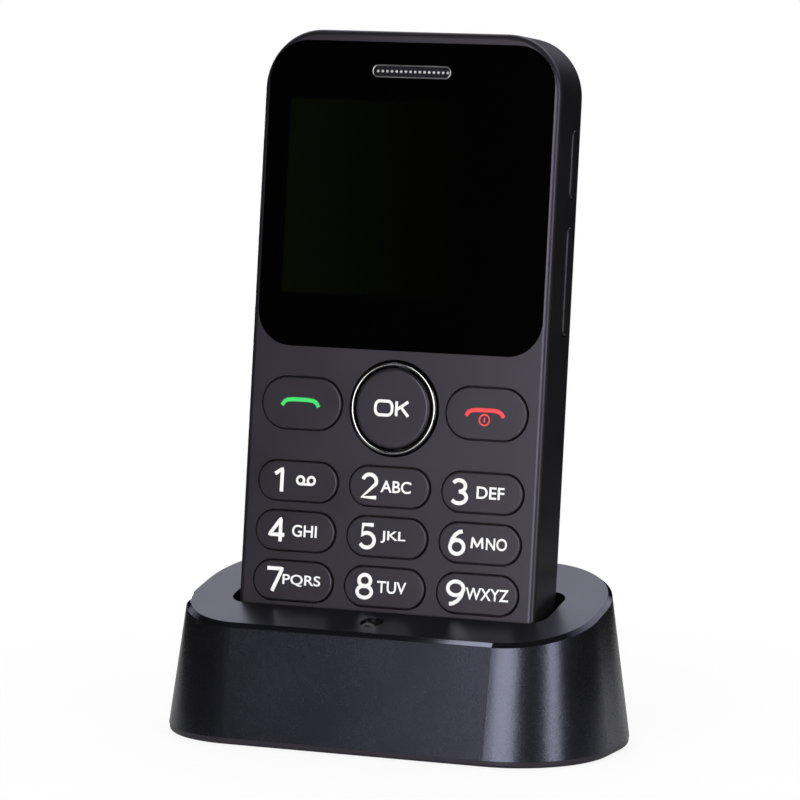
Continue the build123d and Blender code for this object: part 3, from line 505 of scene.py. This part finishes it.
display_glass = Finish("display_glass")
point = display_glass.place()
film = display_glass.noise(point, 6 * MM)
display_glass.feed(
    Base_Color=display_glass.blend(film, (0.012, 0.018, 0.013, 1), (0.018, 0.026, 0.019, 1)),
    Roughness=film * 0.05 + 0.12,
)
print("two lenses and the display's glass")

# %% [markdown]
# The red key
# The emergency key on the back is moulded in red, with the same spark-eroded grain as the other keys.

# %% Red plastic
red_key = Finish("emergency_red")
point = red_key.place()
cloud = red_key.noise(point, 6 * MM)
grain = red_key.noise(point, 0.22 * MM, 3.0)
red_key.feed(
    Base_Color=red_key.blend(cloud, (0.36, 0.016, 0.014, 1), (0.44, 0.024, 0.020, 1)),
    Roughness=(grain - 0.5) * 0.12 + 0.42,
)
red_key.bump(grain, 0.003 * MM)
print("red key")

# %% [markdown]
# Dressing the solids
# The record names a material slot for every solid. Going through that list, rather than naming each
# solid here, makes sure that none is left out.

# %% Give every solid its finish
finish_of_slot = {
    "body": housing_skin,
    "key": key_skin,
    "window": glass,
    "trim_black": black_skin,
    "display": display_glass,
    "mat": rubber,
    "board": lacquer,
    "inner_metal": tinned_steel,
    "contact": gilt,
    "battery": cell_can,
    "lens": clear_lens,
    "ring": ring_plating,
    "sos": red_key,
    "cradle": cradle_skin,
    "cradle_base": band_skin,
    "foot": rubber,
    "light": unlit_lens,
}
for part in frame["record"]["subparts"]:
    solid = nodes[part["node"]]
    solid.data.materials.clear()
    solid.data.materials.append(finish_of_slot[part["material_slot"]].material)

# %% [markdown]
# Printing inks
# The figures, letters and signs are screen-printed in thick opaque ink. Ink is never quite even: its
# colour is a little thinner in places, and its skin is half dull.

# %% Four inks
def ink(name, thin, thick):
    """Screen-printing ink, slightly uneven in colour and gloss."""
    skin = Finish(name)
    point = skin.place()
    cover = skin.noise(point, 0.5 * MM, 3.0)
    skin.feed(Base_Color=skin.blend(cover, thin, thick), Roughness=(cover - 0.5) * 0.15 + 0.5)
    return skin


white_ink = ink("white_ink", grey(0.80), grey(0.92))
green_ink = ink("green_ink", (0.030, 0.58, 0.10, 1), (0.045, 0.72, 0.14, 1))
red_ink = ink("red_ink", (0.72, 0.035, 0.040, 1), (0.85, 0.055, 0.060, 1))
silver_ink = ink("silver_ink", grey(0.50), grey(0.70))
print("four inks")

# %% [markdown]
# From drawing to key
# Every sign is first drawn flat at the origin, in metres: across is X, up is Y. Then it is pressed to
# the thickness of ink, laid on the front of its key, and tied to that key's body, so that it goes in
# when the key is pressed.

# %% Where the keys are, and laying a sign on one
column_pitch = 17.9 * MM
row_pitch = 8.95 * MM
last_row = 10.55 * MM
key_names = ["key_star", "key_0", "key_hash"] + [f"key_{digit}" for digit in (7, 8, 9, 4, 5, 6, 1, 2, 3)]
key_centres = {
    name: ((index % 3 - 1) * column_pitch, last_row + index // 3 * row_pitch)
    for index, name in enumerate(key_names)
}
key_centres["call_key"] = (-column_pitch, ring_height)
key_centres["end_key"] = (column_pitch, ring_height)
key_centres["ok_key"] = (0.0, ring_height)
key_front = -0.5 * MM
ok_front = -1.0 * MM
ink_thickness = 0.03 * MM
ink_lift = 0.3 * ink_thickness
stand_up = Matrix.Rotation(math.radians(90), 4, "X")


def settle(piece, place):
    """Put a piece at its place and leave that place in its mesh."""
    piece.matrix_world = place
    bpy.ops.object.select_all(action="DESELECT")
    piece.select_set(True)
    bpy.context.view_layer.objects.active = piece
    bpy.ops.object.transform_apply(location=True, rotation=True, scale=True)


def lay_on_key(sign, key, finish):
    """Press a drawn sign flat, lay it on its key's front and let it ride on the key."""
    heights = [point.co.z for point in sign.data.vertices]
    across_key, up_key = key_centres[key]
    front = ok_front if key == "ok_key" else key_front
    middle = Matrix.Translation((across_key, front - ink_lift, up_key))
    press = Matrix.Diagonal((1, 1, ink_thickness / (max(heights) - min(heights)), 1))
    settle(sign, phone_frame @ middle @ stand_up @ press)
    sign.data.materials.clear()
    sign.data.materials.append(finish.material)
    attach(sign, key)


print(len(key_centres), "key centres")

# %% [markdown]
# Figures drawn with a pen
# The printed figures have strokes of one width, so each is drawn as a pen would: a few straight and
# round runs on a curve object, whose round bevel is the pen's tip. The runs are written for a box from
# -1 to 1 and stretched to the figure's size. A corner gets a point close by on either side, which
# keeps the stroke's width up to the bend.

# %% The pen
touching = 1e-6


def arc(middle_u, middle_v, radius_u, radius_v, start, end):
    """Points along a part of an ellipse, from one angle to another in degrees."""
    steps = max(4, round(abs(end - start) / 15))
    turns = [math.radians(start + (end - start) * step / steps) for step in range(steps + 1)]
    return [(middle_u + radius_u * math.cos(turn), middle_v + radius_v * math.sin(turn)) for turn in turns]


def eased(run, ease):
    """A run of straight strokes, with a point close by on either side of every corner."""
    points = [Vector(run[0])]
    for before, corner, after in zip(run, run[1:], run[2:]):
        before, corner, after = Vector(before), Vector(corner), Vector(after)
        points += [corner + (before - corner).normalized() * ease, corner]
        points.append(corner + (after - corner).normalized() * ease)
    return points + [Vector(run[-1])]


def pen_drawing(name, runs, stroke):
    """A mesh of round strokes along runs of points in millimetres.

    A run that ends where it starts is closed.
    """
    bpy.ops.object.select_all(action="DESELECT")
    bpy.ops.curve.primitive_nurbs_path_add()
    drawing = bpy.context.object
    drawing.name = name
    drawing.data.splines.clear()
    for run in runs:
        closed = math.dist(run[0], run[-1]) < touching
        points = run[:-1] if closed else run
        spline = drawing.data.splines.new("POLY")
        spline.points.add(len(points) - 1)
        for point, (u, v) in zip(spline.points, points):
            point.co = (u * MM, v * MM, 0, 1)
        spline.use_cyclic_u = closed
    drawing.data.bevel_depth = stroke * MM / 2
    drawing.data.bevel_resolution = 2
    drawing.data.use_fill_caps = True
    bpy.ops.object.convert(target="MESH")
    return drawing


print("pen ready")

# %% [markdown]
# Which runs make which figure
# A nine is a six turned upside down. The other figures have their own runs; round ones are parts of
# ellipses, so a single formula gives all their points. Only runs of few points have sharp corners. Each
# figure has its own left and right side on its key, in millimetres from the key's centre.

# %% Draw the figures
sweep = [(0.7, 0.98), (0.2, 0.9), (-0.3, 0.65), (-0.7, 0.25), (-0.95, -0.4)]
six = [sweep, arc(0, -0.4, 0.95, 0.6, 0, 360)]
figure_runs = {
    "1": [[(-1, 0.55), (0.85, 1), (0.85, -1)]],
    "2": [arc(0, 0.42, 0.92, 0.58, 165, -25) + [(-0.95, -1), (1, -1)]],
    "3": [arc(-0.08, 0.5, 0.85, 0.5, 150, -90), arc(-0.05, -0.48, 1, 0.52, 90, -150)],
    "4": [[(0.45, -1), (0.45, 1), (-1, -0.4), (1, -0.4)]],
    "5": [[(0.8, 1), (-0.6, 1), (-0.75, 0.05)] + arc(-0.05, -0.36, 1, 0.64, 128, -150)],
    "6": six,
    "7": [[(-1, 1), (1, 1), (-0.25, -1)]],
    "8": [arc(0, 0.5, 0.8, 0.5, 0, 360), arc(0, -0.48, 1, 0.52, 0, 360)],
    "9": [[(-u, -v) for u, v in run] for run in six],
    "0": [arc(0, 0, 1, 1, 0, 360)],
}
figure_sides = {
    "1": (-4.8, -2.6), "2": (-5.6, -2.0), "3": (-6.1, -2.5), "4": (-5.3, -1.7), "5": (-5.5, -1.9),
    "6": (-6.0, -2.5), "7": (-5.4, -1.75), "8": (-5.5, -2.0), "9": (-6.0, -2.1), "0": (-3.9, -0.3),
}
figure_half_height = 2.4
figure_stroke = 0.72
corner_ease = 0.2
for figure, (left, right) in figure_sides.items():
    half_width = (right - left - figure_stroke) / 2
    half_height = figure_half_height - figure_stroke / 2
    middle = (left + right) / 2
    runs = [[(middle + u * half_width, v * half_height) for u, v in run] for run in figure_runs[figure]]
    runs = [eased(run, corner_ease) if len(run) < 6 else run for run in runs]
    lay_on_key(pen_drawing(f"figure_{figure}", runs, figure_stroke), f"key_{figure}", white_ink)
print(len(figure_sides), "figures")

# %% [markdown]
# Letters
# The letters are small and plain, and text objects give their shapes. Each group is turned into a mesh
# and then stretched to the width and height that it has on the key. A font's M fills up when it is made
# this bold, so that one letter is drawn with the pen.

# %% Print the letters
def word(name, letters, left, right, low, high, weight):
    """A word as a mesh, fitted into a box given in millimetres round the key's centre."""
    bpy.ops.object.select_all(action="DESELECT")
    bpy.ops.object.text_add()
    text = bpy.context.object
    text.name = name
    text.data.body = letters
    text.data.extrude = 0.05
    text.data.offset = weight
    text.data.resolution_u = 6
    bpy.ops.object.convert(target="MESH")
    xs = [point.co.x for point in text.data.vertices]
    ys = [point.co.y for point in text.data.vertices]
    stretch = ((right - left) * MM / (max(xs) - min(xs)), (high - low) * MM / (max(ys) - min(ys)))
    text.scale = (stretch[0], stretch[1], MM)
    text.location = (left * MM - min(xs) * stretch[0], low * MM - min(ys) * stretch[1], 0)
    bpy.ops.object.transform_apply(location=True, rotation=True, scale=True)
    return text


letters = {
    "2": ("ABC", -1.6, 4.3), "3": ("DEF", -1.0, 4.3), "4": ("GHI", -0.55, 4.3), "5": ("JKL", -1.1, 3.7),
    "6": ("NO", 1.3, 5.3), "7": ("PQRS", -1.95, 5.5), "8": ("TUV", -1.3, 4.35), "9": ("WXYZ", -2.1, 6.1),
}
letter_low, letter_high, letter_weight = -1.0, 1.15, 0.014
for figure, (group, left, right) in letters.items():
    printed = word(f"letters_{figure}", group, left, right, letter_low, letter_high, letter_weight)
    lay_on_key(printed, f"key_{figure}", white_ink)
letter_m = eased([(-1.45, -0.85), (-1.3, 1.0), (-0.4, -0.5), (0.5, 1.0), (0.65, -0.85)], ease=0.12)
lay_on_key(pen_drawing("letter_m", [letter_m], stroke=0.42), "key_6", white_ink)
sign_weight = 0.004
lay_on_key(word("sign_star", "*", -1.7, 1.7, -1.7, 1.7, sign_weight), "key_star", white_ink)
lay_on_key(word("sign_hash", "#", -1.9, 1.9, -2.2, 2.2, sign_weight), "key_hash", white_ink)
print(len(letters), "groups of letters")

# %% [markdown]
# Signs
# The command keys carry the usual handset signs: a green arc to take a call, a red one to end it, and
# the letters on the middle key. The figure one also calls the mailbox, and its sign is two reels joined
# by a line. All are drawn with the same pen.

# %% Draw the signs
handset = [(-3.8, -0.5), (-3.35, 0.2), (-2.7, 0.52), (-1.6, 0.62)]
handset += [(1.2, 0.62), (2.3, 0.5), (2.95, 0.15), (3.4, -0.55)]
handset_stroke = 0.8
lay_on_key(pen_drawing("sign_call", [handset], handset_stroke), "call_key", green_ink)
lay_on_key(pen_drawing("sign_end", [handset], handset_stroke), "end_key", red_ink)
power = [arc(-0.25, -1.1, 0.95, 0.95, 0, 360), [(-0.25, -1.5), (-0.25, -0.7)]]
lay_on_key(pen_drawing("sign_power", power, stroke=0.30), "end_key", red_ink)
letter_o = arc(-0.82, 0.2, 0.85, 1.05, 0, 90) + arc(-2.38, 0.2, 0.85, 1.05, 90, 180)
letter_o += arc(-2.38, -0.2, 0.85, 1.05, 180, 270) + arc(-0.82, -0.2, 0.85, 1.05, 270, 360) + [letter_o[0]]
letter_k = [[(0.88, 1.32), (0.88, -1.32)], [(3.1, 1.32), (1.1, -0.1)], [(1.75, 0.3), (3.2, -1.32)]]
lay_on_key(pen_drawing("sign_ok", [letter_o] + letter_k, stroke=0.56), "ok_key", white_ink)
reels = [arc(0.6, 0.2, 0.68, 0.68, 0, 360), arc(2.7, 0.2, 0.68, 0.68, 0, 360), [(0.6, -0.48), (2.7, -0.48)]]
lay_on_key(pen_drawing("sign_mailbox", reels, stroke=0.48), "key_1", white_ink)
plus = [[(1.4, 0), (3.4, 0)], [(2.4, -1), (2.4, 1)]]
lay_on_key(pen_drawing("plus_0", plus, stroke=0.35), "key_0", white_ink)
print("six signs drawn")

# %% [markdown]
# The painted highlight on the ring
# A line of lighter chrome along the crest of the dark ring is a painted highlight, standing in for the light
# on the crest. It starts as a torus of the ring's middle radius, is flattened to a low crown in edit mode,
# and rides on the ring, so that it rocks with it.

# %% The ring's crest, with a painted highlight
crest_radius = 7.92 * MM
crest_tube = 0.24 * MM
crest_flatness = 0.45
ring_front = -0.55 * MM
bpy.ops.object.select_all(action="DESELECT")
bpy.ops.mesh.primitive_torus_add(
    major_radius=crest_radius, minor_radius=crest_tube, major_segments=96, minor_segments=12
)
crest = bpy.context.object
crest.name = "ring_crest_highlight"
bpy.ops.object.mode_set(mode="EDIT")
bpy.ops.mesh.select_all(action="SELECT")
bpy.ops.transform.resize(value=(1, 1, crest_flatness))
bpy.ops.object.mode_set(mode="OBJECT")
bpy.ops.object.shade_smooth()
settle(crest, phone_frame @ Matrix.Translation((0, ring_front, ring_height)) @ stand_up)
# The lighter line is a painted highlight along the ring's crest.
crest.data.materials.append(painted_crest_highlight.material)
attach(crest, "nav_ring")
print("crest of", round(2000 * crest_radius, 1), "mm across")

# %% [markdown]
# The earpiece
# A thin bright metal rim round the earpiece slot is a painted highlight, standing in for the light on the
# slot's chamfer, and small bright studs close its sound holes. The rim starts as a torus as wide as the
# slot; moving its two halves apart stretches it to the slot's length.
# The studs are made once and copied.

# %% The rim, a painted highlight
earpiece_height = 111.3 * MM
earpiece_half_length = 7.5 * MM
earpiece_half_width = 1.05 * MM
rim_tube = 0.11 * MM
middle_gap = 1e-7
bpy.ops.object.select_all(action="DESELECT")
bpy.ops.mesh.primitive_torus_add(
    major_radius=earpiece_half_width, minor_radius=rim_tube, major_segments=32, minor_segments=8
)
# This rim is a painted highlight for the light on the slot's chamfer.
rim = bpy.context.object
rim.name = "earpiece_highlight_rim"
for side in (-1, 1):
    bpy.ops.object.mode_set(mode="EDIT")
    bpy.ops.mesh.select_all(action="DESELECT")
    bpy.ops.object.mode_set(mode="OBJECT")
    for vertex in rim.data.vertices:
        vertex.select = vertex.co.x * side > middle_gap
    bpy.ops.object.mode_set(mode="EDIT")
    bpy.ops.transform.translate(value=(side * (earpiece_half_length - earpiece_half_width), 0, 0))
    bpy.ops.object.mode_set(mode="OBJECT")
print("rim of", len(rim.data.vertices), "points")

# %% Model one stud and copy it for every sound hole
stud_radius = 0.24 * MM
stud_pitch = 0.9 * MM
stud_count = 16
stud_depth = 0.62 * MM
stud_height, stud_inset, stud_dome = 0.12 * MM, 0.09 * MM, 0.05 * MM
bpy.ops.object.select_all(action="DESELECT")
bpy.ops.mesh.primitive_circle_add(vertices=10, radius=stud_radius, fill_type="NGON")
stud = bpy.context.object
bpy.ops.object.mode_set(mode="EDIT")
bpy.ops.mesh.extrude_region_move(TRANSFORM_OT_translate={"value": (0, 0, stud_height)})
bpy.ops.mesh.inset(thickness=stud_inset, depth=stud_dome)
bpy.ops.mesh.select_all(action="SELECT")
bpy.ops.mesh.normals_make_consistent(inside=False)
bpy.ops.object.mode_set(mode="OBJECT")
studs = []
for place in range(stud_count):
    copy = stud.copy()
    copy.data = stud.data.copy()
    copy.name = f"earpiece_stud_{place + 1}"
    bpy.context.scene.collection.objects.link(copy)
    copy.location.x = (place - (stud_count - 1) / 2) * stud_pitch
    studs.append(copy)
bpy.data.objects.remove(stud)
print(len(studs), "studs")

# %% Set the rim and the studs into the phone's face
for piece in [rim] + studs:
    depth = 0.0 if piece is rim else stud_depth
    middle = Matrix.Translation((piece.location.x, depth, earpiece_height))
    settle(piece, phone_frame @ middle @ stand_up)
    # The rim's bright metal is a painted highlight on the slot's chamfer.
    piece.data.materials.append((tinned_steel if piece is rim else silver_ink).material)
    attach(piece, "phone")
print("rim and studs ride on the phone")
